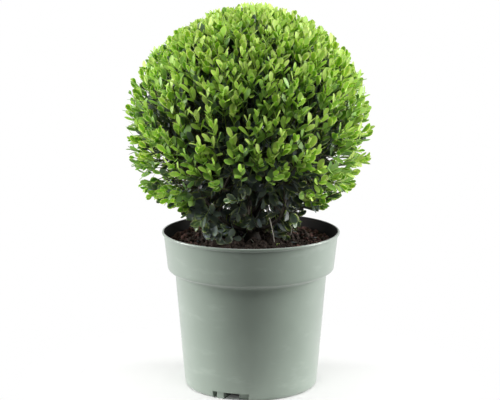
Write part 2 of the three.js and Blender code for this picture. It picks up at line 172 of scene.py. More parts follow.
# Thin stems by kind: the radius at either end, and the bark
STEMS = {
    "branches": (2.0, 1.3, "grey_twig_bark"),
    "low_stems": (2.0, 0.8, "grey_twig_bark"),
    "drooping_stem": (1.5, 0.8, "grey_twig_bark"),
    "bare_stalks": (0.8, 0.7, "weathered_stalk_bark"),
    "twigs": (1.1, 0.75, "grey_twig_bark"),
    "low_twigs": (0.8, 0.5, "grey_twig_bark"),
    "shoots": (0.75, 0.45, "green_shoot_bark"),
}
STEM_SLANT = (0.31, 0.17, 0.93)  # no stem grows quite this way, so its sides are measured from it

# Branches, twigs and shoots of the ball, each spread evenly over it by the golden angle
BRANCH = {"count": 140, "turn": 0.4, "reach": 106.0, "spread": 6.0, "lowest": 224.0, "bend": 14.0}
TWIG_BEND = 4.0
SHOOT = {"wander": 0.26, "bend": -1.5, "scatter": 4.0, "inset": 9.0, "length": 44.0, "youth_spread": 0.12}
BRANCH_STEPS, TWIG_STEPS, SHOOT_STEPS = 4, 3, 2
# Degrees from the ball's top, and at each how far shoots turn up and how young their leaves are tinted:
# darker low down, partly older leaves and partly painted shade under the ball
POLAR = [0, 40, 70, 90, 108, 119, 127, 150]
UPWARD = [0.3, 1.1, 1.6, 1.7, 1.5, 1.1, 0.6, 0.1]
UPWARD_ASIDE = [0.3, 1.0, 1.3, 1.1, 0.6, 0.35, 0.2, 0.1]  # the same to the left and right
LIGHT_AND_AGE = [0.06, 0.02, -0.03, -0.05, -0.05, -0.22, -0.75, -0.9]
SUNNY_SIDES = 16.0  # degrees further down that leaves keep lighter tints to either side: painted light from the side softboxes
SHADY_LEFT = 0.22  # how much darker the leaves are tinted on the far left: painted shade
# Shoots from the outermost layer to the innermost: kept is the share of them that grows at each angle,
# and opened is how much of that is left in the openings
# Their youth sets their leaves' tints: the inner layers darker, partly older leaves and partly painted
# shade inside the ball
LAYERS = table("count turn foot tip spread pairs longest youth opened kept", [
    (1450, 0.0, 124.0, 152.0, 4.0, 3, 17.0, 0.8, 0.65, [1.0, 1.0, 0.72, 0.49, 0.6, 0.8, 0.75, 0.4]),
    (520, 1.7, 104.0, 130.0, 7.0, 3, 18.0, 0.06, 0.15, [1.0, 1.0, 1.0, 1.0, 1.0, 0.9, 0.8, 0.6]),
    (420, 3.4, 84.0, 106.0, 8.0, 3, 20.0, -0.1, 0.15, [1.0, 1.0, 1.0, 1.0, 1.0, 1.0, 1.0, 0.8]),
    (260, 5.1, 45.0, 80.0, 8.0, 4, 24.0, -0.12, 1.0, [1.0, 1.0, 1.0, 1.0, 1.0, 1.0, 1.0, 1.0]),
])
# To either side the ball is open low down, so that sky shows between its twigs
OPENING = {"from": 113.0, "to": 138.0, "aside": 0.68}
# Shaded hollows in the ball's front
HOLLOWS = [
    {"towards": (0.6, -0.79, -0.13), "wide": 0.26, "kept": 0.4},
    {"towards": (-0.5, -0.85, -0.14), "wide": 0.2, "kept": 0.5},
]
# Gaps through which sky or a bare stalk shows: x, height and half-width at y = 0
SKY_GAPS = [
    (122.0, 301.0, 7.0), (113.0, 277.0, 6.0), (-120.0, 286.0, 6.0),
    (-18.0, 248.0, 5.0), (-31.0, 241.0, 5.0), (23.5, 241.0, 5.0), (27.0, 227.0, 5.0),
    (38.0, 239.0, 3.5), (63.0, 238.0, 4.0),
]
# Distances from the trunk, and the lowest leaves at each
UNDERSIDE = ([60.0, 90.0, 115.0, 150.0], [204.0, 232.0, 253.0, 272.0])
FRONT_WIDTH = 1.2  # in front, such a distance counts sideways only, this many times over
LOWER_LEFT = 7.0  # how much further down they hang to the left

# Skirt: open sprays under the ball, on stems that run out over the soil
SKIRT_START = (46.0, 233.0)
SKIRT_REACH = (112.0, 256.0)
SIDE_REACH = (142.0, 280.0)  # for the stems to either side
SIDEWAYS = 0.75  # the least that a stem to either side points there
SKIRT_BEND = 11.0
# The twigs of one stem; grey is the share of them with old grey leaves
SKIRT = {
    "count": 14, "length": (22.0, 36.0), "swing": (0.9, 1.3), "rise": 0.35, "droop": 0.3, "inset": 12.0,
    "bend": 2.0, "pairs": 4, "longest": 18.0, "grey": 0.15}
# Tints of a skirt stem's leaves: lighter on the sunny stems to either side as painted light, darker on the
# shaded ones as painted shade
SUNNY_YOUTH = (-0.8, 0.7, 0.25)  # at the stem's foot and at its tip, and the spread
SHADED_YOUTH = (-0.5, -0.5, 0.1)

# Undergrowth: shoots along the low boughs, tinted dark partly as older leaves and partly as painted shade,
# one drooping spray of grey leaves, and bare stalks
# The shoots of one bough, from which of its points on; grey is as above
LOW_SHOOT = {
    "count": 18, "from": 3, "flatness": (1.0, 1.0, 0.5), "lift": (-0.9, 0.4), "length": (18.0, 40.0),
    "bend": 2.0, "pairs": 3, "longest": 17.0, "youth": (-0.45, 0.1), "grey": 0.1}
LOWEST_TIP = 209.0  # of these shoots and of the skirt's twigs
GREY_SPRAY = ((-82.0, -48.0, 266.0), (-64.0, -62.0, 256.0), (-34.0, -64.0, 208.0))
GREY_TWIG = {
    "count": 22, "growth": (-0.1, -1.0, -0.1), "wander": 0.4, "length": (5.0, 14.0),
    "scatter": (5.0, 0.0, 5.0), "lowest": 208.0, "bend": 0.0, "pairs": 2, "longest": 15.0,
    "slimness": 0.72, "tilt": (80.0, 62.0)}
STALK_STEPS = 6
BARE_STALKS = [
    ((32.0, -15.0, 195.0), (29.0, -48.0, 224.0), (20.5, -78.0, 257.0)),
    ((53.0, 6.0, 195.0), (54.0, 4.0, 222.0), (68.0, 0.0, 242.0)),
    ((7.0, -24.0, 197.0), (3.0, -25.0, 201.0), (0.0, -26.0, 205.0)),
]
GREY_YOUTH = -2.0  # the youth that stands for the old grey leaves near the soil
# Fallen leaves: how they lie, and for each its place on the soil, bearing, length and youth
FALLEN = {"above": 1.5, "rise": 0.2, "slimness": 0.55, "fold": 0.2, "curl": -0.05}
FALLEN_LEAVES = [
    (34.0, -42.0, 60.0, 8.0, 0.9),
    (-103.0, 38.0, 25.0, 10.0, 0.4),
    (62.0, -30.0, 200.0, 9.0, GREY_YOUTH),
    (84.0, 8.0, 310.0, 9.0, GREY_YOUTH),
    (-70.0, -12.0, 140.0, 8.0, GREY_YOUTH),
    (20.0, 72.0, 80.0, 9.0, 0.5),
    (-46.0, 64.0, 10.0, 8.0, GREY_YOUTH),
]
# The front under the ball is open: leaves there are few, below a height that rises towards the front
FRONT_GAP = {"behind": -10.0, "below": 264.0, "slope": 0.17, "half_width": 72.0, "kept": 0.08}

# Leaves: obovate with a round tip
LEAF_STATIONS = np.array([0.1, 0.3, 0.52, 0.74, 0.92])
LEAF_OUTLINE = (0.85, 2.3, 0.7)  # powers: how it widens, how far up it is widest, and how round its tip is
LEAF_FOOT = 0.6  # how far its base goes into the shoot
LEAF_SLIMNESS = 0.46  # width over length
LEAF_THICKNESS = 0.4
LEAF_SHORTEST = 6.0
LEAF_TILT = (50.0, 20.0)  # degrees from the shoot, for its lowest and its last pair
LEAF_LOWEST = 0.2  # share of the shoot below its first pair
LEAF_SLANT = (0.13, 0.29, 0.95)  # no shoot grows quite this way, so turns are measured from it
LEAF_UPTURN = 0.2  # how far faces turn up to the light
LEAF_SHORTENING = 0.14  # how much shorter the last pair is
LEAF_AGE_AND_SHADE = {"range": 0.34, "middle": 0.6}  # younger and lighter to the tip, and at the middle as old as the shoot; the lower pairs are darker partly as painted shade
LEAF_FOLD = (0.16, 0.12)  # mean and spread
LEAF_CURL = (-0.04, 0.07)
# How much single leaves differ: the turn in radians, the tilt in degrees, and the others as shares
LEAF_VARIETY = {"turn": 0.16, "tilt": 9.0, "face": 0.16, "length": 0.16, "age": 0.06, "width": 0.1}
# Tints from the youngest and best lit leaves to the oldest and most shaded, the darker ones partly painted
# shade, with the least youth that each takes and its skin's gloss
LEAF_TINTS = [
    ("pale_lime", "#B5D26A", 0.88, 0.25),
    ("lime", "#9EC54F", 0.68, 0.38),
    ("fresh_green", "#82AC48", 0.48, 0.45),
    ("leaf_green", "#698F49", 0.32, 0.55),
    ("deep_green", "#526C4E", 0.16, 0.65),
    ("dark_green", "#485A50", 0.0, 0.65),
    ("shade_green", "#46524C", -0.3, 0.5),
    ("inner_shade_green", "#444F4C", -0.9, 0.5),
    ("grey_green", "#6B7870", -9.0, 0.12),
]


def linear(colour):
    """An sRGB hex colour as linear red, green, blue and alpha."""
    channels = [int(colour[i:i + 2], 16) / 255 for i in (1, 3, 5)]
    return [c / 12.92 if c <= 0.04045 else ((c + 0.055) / 1.055) ** 2.4 for c in channels] + [1.0]


def add_node(tree, kind, inputs=None, output=0, **settings):
    """Adds a shader node and returns one output; inputs are sockets to link from, or values."""
    node = tree.nodes.new(f"ShaderNode{kind}")
    for name, value in settings.items():
        setattr(node, name, value)
    for key, source in (inputs or {}).items():
        if isinstance(source, bpy.types.NodeSocket):
            tree.links.new(source, node.inputs[key])
        else:
            node.inputs[key].default_value = source
    return node.outputs[output] if node.outputs else None


def new_material(name):
    """An empty node material, its tree, and the object's own coordinates in it."""
    material = bpy.data.materials.new(name)
    material.use_nodes = True
    tree = material.node_tree
    tree.nodes.clear()
    return material, tree, add_node(tree, "TexCoord", output="Object")


def finish_material(tree, inputs):
    """Ends a tree in the one shader that carries the surface."""
    add_node(tree, "OutputMaterial", {"Surface": add_node(tree, "BsdfPrincipled", inputs)})


def per_mm(size):
    """The scale of a pattern whose features measure that many millimetres."""
    return 1 / (size * MM)


def clouded(tree, place, size, detail, roughness, span, dark, light):
    """Noise, its contrast raised over a span, and two tones mixed by that."""
    noise = add_node(tree, "TexNoise", {
        "Vector": place, "Scale": per_mm(size), "Detail": detail, "Roughness": roughness})
    contrast = add_node(tree, "MapRange", {"Value": noise, "From Min": span[0], "From Max": span[1]})
    tone = add_node(tree, "Mix", {0: contrast, 6: linear(dark), 7: linear(light)}, 2, data_type="RGBA")
    return noise, contrast, tone


def sage_polypropylene():
    """Injection-moulded polypropylene, satin: an even sage with cloudy flow and paler rubbed streaks."""
    material, tree, place = new_material("sage_moulded_polypropylene")
    flow = add_node(tree, "TexNoise", {"Vector": place, "Scale": per_mm(45), "Detail": 3.0})
    tone = add_node(tree, "Mix", {
        0: flow, 6: linear("#828F83"), 7: linear("#909D91")}, 2, data_type="RGBA")
    slant = add_node(tree, "Mapping", {
        "Vector": place, "Rotation": (0.0, 0.4, 0.0), "Scale": (1.0, 1.0, 3.0)})
    rub = add_node(tree, "TexNoise", {
        "Vector": slant, "Scale": per_mm(60), "Detail": 4.0, "Roughness": 0.6})
    rubbed = add_node(tree, "MapRange", {
        "Value": rub, "From Min": 0.58, "From Max": 0.8, "To Min": 0.0, "To Max": 0.3})
    colour = add_node(tree, "Mix", {0: rubbed, 6: tone, 7: linear("#B4BEB5")}, 2, data_type="RGBA")
    roughness = add_node(tree, "MapRange", {
        "Value": rub, "From Min": 0.3, "From Max": 0.7, "To Min": 0.3, "To Max": 0.43})
    # The moulded grain is about 0.3 mm across, drawn at 0.9 mm so that it shows at all
    grain = add_node(tree, "TexNoise", {"Vector": place, "Scale": per_mm(0.9), "Detail": 2.0})
    bump = add_node(tree, "Bump", {"Height": grain, "Strength": 0.08, "Distance": 0.3 * MM})
    finish_material(tree, {
        "Base Color": colour, "Roughness": roughness, "Normal": bump, "IOR": 1.49, "Sheen Weight": 0.3,
        "Sheen Roughness": 0.5, "Coat Weight": 0.3, "Coat Roughness": 0.25})
    return material


def black_polypropylene():
    """The black inner layer of the pot's wall: satin, with dried splashes of peat that dull it."""
    material, tree, place = new_material("black_moulded_polypropylene")
    # Both tones are lifted from black to dark grey as painted light on the wall in the crown's shade
    _, dirt, tone = clouded(tree, place, 9, 5.0, 0.65, (0.52, 0.7), "#424040", "#494441")
    roughness = add_node(tree, "MapRange", {"Value": dirt, "To Min": 0.7, "To Max": 0.9})
    finish_material(tree, {
        "Base Color": tone, "Roughness": roughness, "IOR": 1.49, "Specular IOR Level": 0.06})
    return material


def peat(name, dark, light, clod):
    """Moist peat: matt crumbs from near black to red brown, rough at every size."""
    material, tree, place = new_material(name)
    clods, _, tone = clouded(tree, place, clod, 6.0, 0.7, (0.35, 0.7), dark, light)
    bump = add_node(tree, "Bump", {"Height": clods, "Strength": 0.8, "Distance": 1.2 * MM})
    finish_material(tree, {
        "Base Color": tone, "Roughness": 0.9, "Normal": bump, "Specular IOR Level": 0.25})
    return material


def bark(name, dark, light, streak):
    """Thin holly bark: matt grey brown, drawn out in fine streaks along the wood, with paler flecks."""
    material, tree, place = new_material(name)
    along = add_node(tree, "Mapping", {"Vector": place, "Scale": (1.0, 1.0, 0.3)})
    streaks, _, tone = clouded(tree, along, streak, 5.0, 0.65, (0.35, 0.68), dark, light)
    bump = add_node(tree, "Bump", {"Height": streaks, "Strength": 0.7, "Distance": 0.6 * MM})
    finish_material(tree, {"Base Color": tone, "Roughness": 0.82, "Normal": bump})
    return material


def leaf_blade(name, colour, gloss):
    """A leathery evergreen leaf: a waxy skin with soft highlights, and light that seeps in."""
    material, tree, _ = new_material(name)
    finish_material(tree, {
        "Base Color": linear(colour), "Roughness": 0.6 - 0.38 * gloss, "IOR": 1.45,
        "Specular IOR Level": gloss, "Subsurface Weight": 0.5, "Subsurface Radius": (0.8, 1.0, 0.3),
        "Subsurface Scale": 1.0 * MM})
    return material


def studio_paper():
    """Matt white background paper, without any sheen, that runs out into the white behind it."""
    material, tree, place = new_material("white_studio_paper")
    out = add_node(tree, "VectorMath", {0: place}, "Value", operation="LENGTH")
    left = add_node(tree, "MapRange", {
        "Value": out, "From Min": FLOOR_FADE[0] * MM, "From Max": FLOOR_FADE[1] * MM,
        "To Min": 1.0, "To Max": 0.0})
    finish_material(tree, {
        "Base Color": linear("#E4E4E3"), "Roughness": 1.0, "Specular IOR Level": 0.0, "Alpha": left})
    return material


def deselect():
    bpy.ops.object.select_all(action="DESELECT")


def select_only(piece):
    deselect()
    piece.select_set(True)
    bpy.context.view_layer.objects.active = piece


def smooth(piece, degrees):
    """Shades edges smooth up to an angle."""
    select_only(piece)
    bpy.ops.object.shade_smooth_by_angle(angle=math.radians(degrees))


def apply_modifier(piece, kind, **settings):
    modifier = piece.modifiers.new(kind.lower(), kind)
    for name, value in settings.items():
        setattr(modifier, name, value)
    select_only(piece)
    bpy.ops.object.modifier_apply(modifier=modifier.name)


def relief(piece, sizes, group=""):
    """Pushes a surface in and out by clouds of several sizes."""
    for size, height in sizes:
        cloud = bpy.data.textures.new(f"{piece.name}_{size:g}", "CLOUDS")
        cloud.noise_scale = size * MM
        cloud.noise_depth = 2
        apply_modifier(
            piece, "DISPLACE", texture=cloud, strength=height * MM, mid_level=0.5, vertex_group=group)


def bezier(start, control, end, steps):
    """Points along a quadratic curve, or along rows of them."""
    share = np.linspace(0, 1, steps + 1)[:, None]
    start, control, end = (np.asarray(point, float)[..., None, :] for point in (start, control, end))
    return (1 - share) ** 2 * start + 2 * share * (1 - share) * control + share**2 * end


def unit(vectors):
    return vectors / np.linalg.norm(vectors, axis=-1, keepdims=True)


def around_axis(point, angle):
    out, height = point
    return np.array([out * math.cos(angle), out * math.sin(angle), height])


def end_edit():
    """Turns all faces outwards and leaves edit mode."""
    bpy.ops.mesh.select_all(action="SELECT")
    bpy.ops.mesh.normals_make_consistent(inside=False)
    bpy.ops.object.mode_set(mode="OBJECT")


def turned(name, profile, sides):
    """A closed turned piece: a filled circle, its rim extruded, raised and resized from ring to ring."""
    radius, height = profile[0]
    deselect()
    bpy.ops.mesh.primitive_circle_add(
        vertices=sides, radius=radius * MM, fill_type="NGON", location=(0, 0, height * MM))
    piece = bpy.context.object
    piece.name = name
    bpy.ops.object.transform_apply()
    bpy.ops.object.mode_set(mode="EDIT")
    bpy.ops.mesh.select_mode(type="EDGE")
    bpy.ops.mesh.select_all(action="SELECT")
    for next_radius, next_height in profile[1:]:
        rise = (next_height - height) * MM
        growth = next_radius / radius
        bpy.ops.mesh.extrude_edges_move(TRANSFORM_OT_translate={"value": (0, 0, rise)})
        bpy.ops.transform.resize(value=(growth, growth, 1), center_override=(0, 0, 0))
        radius, height = next_radius, next_height
    bpy.ops.mesh.edge_face_add()
    end_edit()
    return piece


def sector_block(inner, outer, start, end, bottom, top):
    """A block between two radii and two angles in degrees: a rectangle spun about the pot's axis."""
    deselect()
    middle = ((inner + outer) / 2 * MM, 0, (bottom + top) / 2 * MM)
    bpy.ops.mesh.primitive_plane_add(size=1, location=middle, rotation=(math.pi / 2, 0, 0))
    block = bpy.context.object
    block.scale = ((outer - inner) * MM, (top - bottom) * MM, 1)
    bpy.ops.object.transform_apply()
    block.rotation_euler = (0, 0, math.radians(end))
    bpy.ops.object.transform_apply()
    bpy.ops.object.mode_set(mode="EDIT")
    bpy.ops.mesh.select_all(action="SELECT")
    # With no window a spin turns clockwise, so it runs back from the end to the start
    bpy.ops.mesh.spin(steps=6, angle=math.radians(end - start), center=(0, 0, 0), axis=(0, 0, 1))
    end_edit()
    return block


def drain_hole(middle):
    """The block that cuts a hole through a drain's roof."""
    bearing = math.radians(middle)
    place = around_axis((DRAIN_HOLE["radius"], DRAIN_HEIGHT), bearing) * MM
    place += around_axis((DRAIN_HOLE["aside"], 0), bearing + math.pi / 2) * MM
    deselect()
    bpy.ops.mesh.primitive_cube_add(size=1, location=place, rotation=(0, 0, bearing))
    block = bpy.context.object
    block.scale = (DRAIN_HOLE["depth"] * MM, DRAIN_HOLE["width"] * MM, DRAIN_HEIGHT * MM)
    bpy.ops.object.transform_apply()
    return block


def combine(piece, block, operation):
    """Joins a block to a piece or cuts it out, and removes the block."""
    apply_modifier(piece, "BOOLEAN", object=block, operation=operation, solver="EXACT")
    bpy.data.objects.remove(block)


def pot_profile():
    """The pot's section: from its foot up the outside, over the lip and down the inside to the floor."""
    step = ((BODY_TOP[0] + BAND_BOTTOM[0]) / 2, (BODY_TOP[1] + BAND_BOTTOM[1]) / 2)
    lip_bottom = POT_HEIGHT - LIP_HEIGHT
    lip_middle = (LIP_RADIUS, POT_HEIGHT - LIP_HEIGHT / 2)
    heel = bezier((FOOT_RADIUS, 0), (HEEL[0], 0), HEEL, 6)
    under_step = bezier(BODY_TOP, (BODY_TOP[0], BODY_TOP[1] + STEP_ROUNDING), step, 6)
    over_step = bezier(step, (BAND_BOTTOM[0], step[1]), BAND_BOTTOM, 8)
    lip_under = bezier(BAND_TOP, (LIP_RADIUS, lip_bottom), lip_middle, 5)
    lip_over = bezier(lip_middle, (LIP_RADIUS, POT_HEIGHT), (LIP_RADIUS - LIP_EDGE, POT_HEIGHT), 5)
    mouth = bezier((BAND_TOP[0], POT_HEIGHT), (BAND_TOP[0] - WALL / 2, POT_HEIGHT),
                   (BAND_TOP[0] - WALL, BAND_TOP[1]), 4)
    inside = [
        (BAND_BOTTOM[0] - WALL, BAND_BOTTOM[1]),
        (BODY_TOP[0] - WALL, BODY_TOP[1] + WALL),
        (HEEL[0] - WALL, HEEL[1]),
        (HEEL[0] - WALL - HEEL_INSET, POT_FLOOR),
    ]
    return [*heel, *under_step, *over_step[1:], *lip_under, *lip_over[1:], *mouth, *inside]


def is_black(face):
    """Whether a face of the pot is black: its black layer inside the wall and on the floor, and painted
    shade deep in a drain.
    """
    middle = face.center / MM
    radius = math.hypot(middle.x, middle.y)
    outward = face.normal.x * middle.x + face.normal.y * middle.y
    in_wall = outward < -FACING_IN * radius and middle.z > DRAIN_HEIGHT + WALL
    on_floor = face.normal.z > FACING_UP and POT_FLOOR - GAP < middle.z < 2 * DRAIN_HEIGHT
    # Deep in a drain the faces are painted black: painted shade in the recess, not a layer of the pot
    painted_drain_shade = radius < DRAIN_PAINTED_SHADE_BACK and DRAIN_SINK < middle.z < DRAIN_HEIGHT - DRAIN_SINK
    return in_wall or on_floor or painted_drain_shade


def pot():
    """The pot: turned, with its drains cut in, sage outside and black inside, and painted shade deep in
    its drains.
    """
    piece = turned("pot_shell", pot_profile(), POT_SIDES)
    housing_edge = math.degrees(WALL / HEEL[0])
    for i in range(DRAIN_COUNT):
        middle = DRAIN_TURN + 360 * i / DRAIN_COUNT
        spread = DRAIN_HALF_ANGLE + housing_edge
        housing = sector_block(DRAIN_INNER - WALL, HEEL[0] - WALL / 2, middle - spread, middle + spread,
                               POT_FLOOR - DRAIN_SINK, DRAIN_HEIGHT + WALL)
        combine(piece, housing, "UNION")
        for start, end, inner in DRAIN_CELLS:
            cell = sector_block(inner, DRAIN_OUTER, middle + start, middle + end, -POT_FLOOR, DRAIN_HEIGHT)
            combine(piece, cell, "DIFFERENCE")
        combine(piece, drain_hole(middle), "DIFFERENCE")
    piece.data.materials.clear()
    piece.data.materials.append(sage_polypropylene())
    piece.data.materials.append(black_polypropylene())
    for face in piece.data.polygons:
        face.material_index = int(is_black(face))
    smooth(piece, SMOOTH["pot"])
    return piece


def soil_bed(material):
    """The peat's own body: it fills the pot, and its top is heaved into clods."""
    lean = (BAND_TOP[0] - BAND_BOTTOM[0]) / (BAND_TOP[1] - BAND_BOTTOM[1])
    rim = BAND_BOTTOM[0] + lean * (SOIL_EDGE - BAND_BOTTOM[1]) - SOIL_CLEARANCE
    sides = [
        (HEEL[0] - SOIL_CLEARANCE, SOIL_BOTTOM),
        (BODY_TOP[0] - SOIL_CLEARANCE, BODY_TOP[1] + SOIL_CLEARANCE),
        (BAND_BOTTOM[0] - SOIL_CLEARANCE, BAND_BOTTOM[1] + GAP),
        (rim, SOIL_EDGE),
    ]
    out = np.arange(rim - SOIL_RING, SOIL_RING / 2, -SOIL_RING)
    height = np.interp(
        out, [2 * TRUNK["flare"], SOIL_SHOULDER[0], rim], [SOIL_TOP, SOIL_SHOULDER[1], SOIL_EDGE])
    piece = turned("soil_bed", [*sides, *zip(out, height)], SOIL_SIDES)
    top = piece.vertex_groups.new(name="top")
    for vertex in piece.data.vertices:
        within = math.hypot(vertex.co.x, vertex.co.y) < (rim - SOIL_RING / 2) * MM
        if within and vertex.co.z > SOIL_EDGE * MM:
            top.add([vertex.index], 1.0, "REPLACE")
    relief(piece, PEAT_LUMPS, "top")
    piece.vertex_groups.clear()
    smooth(piece, SMOOTH["peat"])
    piece.data.materials.append(material)
    return piece


def joined(name, points, faces, material, angle):
    """One mesh of many copies: points is copies x corners x 3 in millimetres, faces one copy's faces."""
    copies, corners, _ = points.shape
    starts = corners * np.arange(copies)
    whole = []
    for size in sorted({len(face) for face in faces}):
        template = np.array([face for face in faces if len(face) == size])
        whole += (starts[:, None, None] + template).reshape(-1, size).tolist()
    mesh = bpy.data.meshes.new(name)
    mesh.from_pydata((points.reshape(-1, 3) * MM).tolist(), [], whole)
    mesh.materials.append(material)
    piece = bpy.data.objects.new(name, mesh)
    bpy.context.scene.collection.objects.link(piece)
    smooth(piece, angle)
    return piece


def crumb_shape():
    """The corners and faces of a twenty-sided crumb."""
    golden = (1 + math.sqrt(5)) / 2
    flat = np.array([(s, t * golden, 0) for s in (-1, 1) for t in (-1, 1)])
    corners = np.concatenate([np.roll(flat, turn, axis=1) for turn in range(3)]) / math.hypot(1, golden)
    faces = []
    reach = 1.01 * 2 / math.hypot(1, golden)  # a little over one edge
    near = np.linalg.norm(corners[:, None] - corners[None], axis=-1) < reach
    for a, b, c in itertools.combinations(range(len(corners)), 3):
        if near[a, b] and near[b, c] and near[a, c]:
            outward = np.cross(corners[b] - corners[a], corners[c] - corners[a]) @ corners[a]
            faces.append((a, b, c) if outward > 0 else (a, c, b))
    return corners, faces


def turns(count, rng):
    """Random rotation matrices, from quaternions."""
    spins = unit(rng.normal(size=(count, 4)))
    w, v = spins[:, :1, None], spins[:, None, 1:]
    return 2 * v * v.swapaxes(1, 2) + 2 * w * np.cross(np.eye(3), v) + (2 * w**2 - 1) * np.eye(3)


def lying_height(bed, places):
    """The height of the bed's surface at each place."""
    surface = BVHTree.FromObject(bed, bpy.context.evaluated_depsgraph_get())
    starts = [Vector((x * MM, y * MM, 1)) for x, y in places]
    return np.array([surface.ray_cast(start, Vector((0, 0, -1)))[0].z for start in starts]) / MM


def soil_crumbs(bed, name, material, rng):
    """Loose crumbs of one kind: lumpy grains sunk a little into the bed."""
    count, area, (usual, greatest), _ = CRUMBS[name]
    corners, faces = crumb_shape()
    out = CRUMB_AREA * np.sqrt(rng.uniform(*area, count))
    angle = rng.uniform(0, 2 * math.pi, count)
    radius = np.clip(rng.lognormal(math.log(usual), CRUMB["variety"], count), usual / 2, greatest)
    out = np.minimum(out, BAND_BOTTOM[0] - WALL - CRUMB["reach"] * radius)
    flat = np.column_stack([out * np.cos(angle), out * np.sin(angle)])
    places = np.column_stack([flat, lying_height(bed, flat) + radius * CRUMB["middle"]])
    lumpy = corners[None] * rng.uniform(*CRUMB["knobs"], (count, len(corners), 1))
    lumpy = lumpy * rng.uniform(*CRUMB["stretch"], (count, 1, 3))
    points = np.einsum("nij,nkj->nki", turns(count, rng), lumpy) * radius[:, None, None] + places[:, None]
    return joined(name, points, faces, material, SMOOTH["crumb"])


def limb(name, points, radii):
    """One limb: a path with a thickness at each point, made a closed mesh."""
    deselect()
    bpy.ops.curve.primitive_nurbs_path_add()
    path = bpy.context.object
    path.name = name
    path.data.bevel_depth = MM
    path.data.bevel_resolution = 4
    path.data.resolution_u = 5
    path.data.use_fill_caps = True
    spline = path.data.splines[0]
    spline.points.add(len(points) - len(spline.points))
    spline.order_u = 4
    for spot, place, radius in zip(spline.points, points, radii):
        spot.co = (*[coordinate * MM for coordinate in place], 1)
        spot.radius = radius
    bpy.ops.object.convert(target="MESH")
    return bpy.context.object


def covered(piece, sizes, material):
    """A limb with its bark: the relief, the shading and the material."""
    relief(piece, sizes)
    smooth(piece, SMOOTH["bark"])
    piece.data.materials.clear()
    piece.data.materials.append(material)
    return piece


def trunk_curve(steps):
    foot = (0, 0, SOIL_TOP + GAP)
    middle = (0, 0, SOIL_TOP + TRUNK["height"] / 2)
    return bezier(foot, middle, (-TRUNK["lean"], 0, SOIL_TOP + TRUNK["height"]), steps)


def trunk(material):
    """The trunk from its flare in the peat to its fork, with bark standing out of it."""
    share = np.linspace(0, 1, TRUNK_STEPS + 1)
    radii = (TRUNK["flare"] - TRUNK["radius"]) * np.exp(-share * FLARE_FADE)
    radii += TRUNK["radius"] + (TRUNK["tip"] - TRUNK["radius"]) * share
    points = trunk_curve(TRUNK_STEPS)
    points = np.concatenate([[points[0] - UP * TRUNK_DEPTH], points])
    piece = limb("trunk_with_bark", points, [TRUNK["flare"] + FOOT_SPREAD, *radii])
    apply_modifier(piece, "SUBSURF", levels=1, render_levels=1)
    return covered(piece, TRUNK_RELIEF, material)


def planned_boughs():
    """One entry for each bough, by the frame's own rule: its tier, angle, direction and curve."""
    plans = []
    for tier in TIERS:
        for i in range(tier["count"]):
            angle = math.radians(tier["turn"] + 360 * i / tier["count"])
            polar = math.radians(tier["polar"])
            direction = around_axis((math.sin(polar), math.cos(polar)), angle)
            start = trunk_curve(FORK_STEPS)[round(FORK_STEPS * tier["fork"] / TRUNK["height"])]
            in_ball = CROWN_CENTRE + direction * BOUGH_END
            end = around_axis(SKIRT_START, angle) if tier["name"] == "skirt" else in_ball
            curve = bezier(start, around_axis(tier["elbow"], angle), end, BOUGH_STEPS)
            plans.append({"tier": tier, "angle": angle, "direction": direction, "curve": curve})
    return plans


def boughs(plans, material):
    """All boughs as one piece with the bark's relief."""
    made = []
    for i, plan in enumerate(plans):
        radii = np.linspace(plan["tier"]["base"], plan["tier"]["tip"], len(plan["curve"]))
        made.append(limb(f"bough_{i}", plan["curve"], radii))
    deselect()
    for piece in made:
        piece.select_set(True)
    bpy.context.view_layer.objects.active = made[0]
    bpy.ops.object.join()
    piece = bpy.context.object
    piece.name = "boughs_with_bark"
    return covered(piece, BOUGH_RELIEF, material)


def tubes(paths, radii):
    """Three-sided closed tubes along rows of points: their corners and one tube's faces."""
    steps = paths.shape[1]
    ahead = unit(np.gradient(paths, axis=1))
    aside = unit(np.cross(ahead, STEM_SLANT))
    across = np.cross(ahead, aside)
    turn = 2 * math.pi / 3 * np.arange(3)
    spokes = aside[:, :, None] * np.cos(turn)[:, None] + across[:, :, None] * np.sin(turn)[:, None]
    points = paths[:, :, None] + spokes * np.asarray(radii)[..., None, None]
    faces = [(2, 1, 0), (3 * steps - 3, 3 * steps - 2, 3 * steps - 1)]
    for step in range(steps - 1):
        for k in range(3):
            low = 3 * step + k
            beside = 3 * step + (k + 1) % 3
            faces.append((low, beside, beside + 3, low + 3))
    return points.reshape(len(paths), -1, 3), faces


def spread_directions(count, turn):
    """Evenly spread directions over a whole ball, by the golden angle."""
    step = np.arange(count)
    height = 1 - (2 * step + 1) / count
    out = np.sqrt(1 - height**2)
    angle = step * GOLDEN_ANGLE + turn
    return np.stack([out * np.cos(angle), out * np.sin(angle), height], -1)


def reach_to(foot, growth, radius):
    """How far from each foot, along its growth, a ball of that radius about the crown's centre is met."""
    spot = foot - CROWN_CENTRE
    along = np.sum(spot * growth, -1)
    return -along + np.sqrt(np.maximum(along**2 + radius**2 - np.sum(spot**2, -1), 0))


def bulge(ways):
    """How far the ball reaches past its own radius in each direction: most at its middle."""
    return CROWN_BULGE * (1 - ways[..., 2] ** 2)


def lumps(ways):
    """How far the ball's surface stands out or in at each direction, by waves that cross."""
    waves = 2 * math.pi * CROWN_RADIUS / LUMP_SIZE * ways @ spread_directions(LUMP_WAVES, LUMP_TURN).T
    shift = LUMP_PHASE * np.arange(1, LUMP_WAVES + 1)
    return CROWN_LUMPS * np.sum(np.sin(waves + shift), -1) / math.sqrt(LUMP_WAVES / 2)


